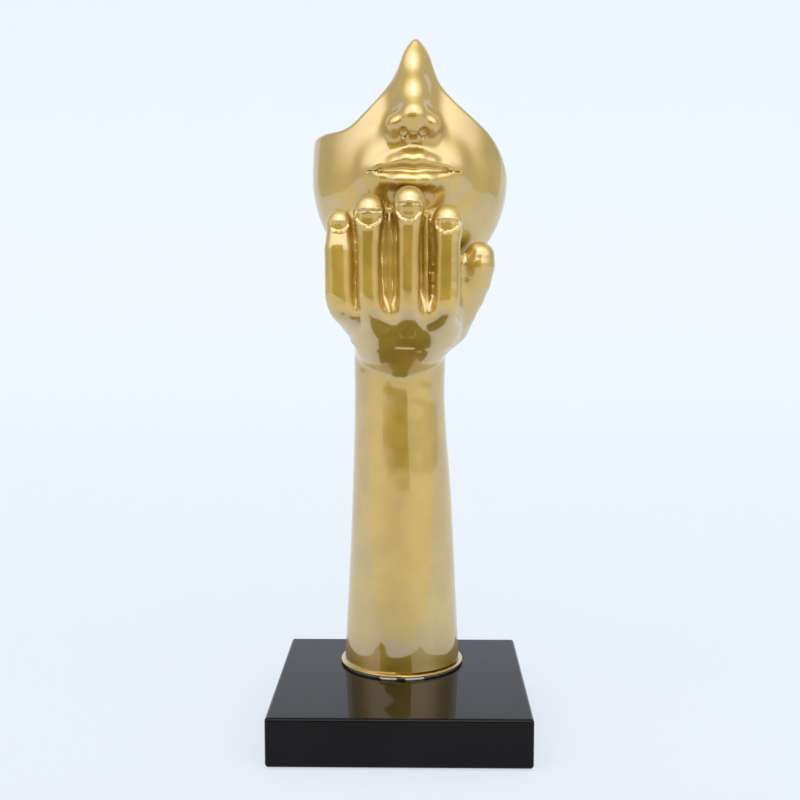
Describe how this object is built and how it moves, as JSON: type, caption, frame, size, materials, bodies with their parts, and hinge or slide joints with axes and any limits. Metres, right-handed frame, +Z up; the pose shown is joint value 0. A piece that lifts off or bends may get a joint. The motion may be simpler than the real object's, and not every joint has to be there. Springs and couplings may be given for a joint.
{
  "type": "hand and face sculpture",
  "caption": "Gold-glazed ceramic forearm and hand that cups the chin of an open lower-face shell, on a square black plinth.",
  "frame": {"origin": "centre of the plinth's square footprint, on the surface that the felt pads stand on", "axes": "+Z up along the forearm, +X to the right of someone who looks at the back of the hand, -Y towards that viewer"},
  "size_m": [0.15, 0.15, 0.4087],
  "materials": {
    "gold_glaze": "gold lustre under a clear gloss coat",
    "gold_metal": "gold paint under a clear gloss coat",
    "bare_ceramic": "unglazed, matt",
    "black_lacquer": "black gloss lacquer",
    "felt": "pressed felt",
    "zinc_steel": "zinc plated",
    "clear_adhesive": "clear, glossy"
  },
  "bodies": {
    "root": {"plinth": "black_lacquer", "felt_pad_front_left": "felt", "felt_pad_front_right": "felt", "felt_pad_back_left": "felt", "felt_pad_back_right": "felt", "tie_bolt": "zinc_steel", "bolt_washer": "zinc_steel", "plate_washer": "zinc_steel", "tie_nut": "zinc_steel", "glue_bead": "clear_adhesive", "foot_plate": "gold_metal", "forearm": "gold_glaze", "wrist_sleeve": "bare_ceramic", "hand": "gold_glaze", "face_mask": "gold_glaze"}
  },
  "joints": []
}
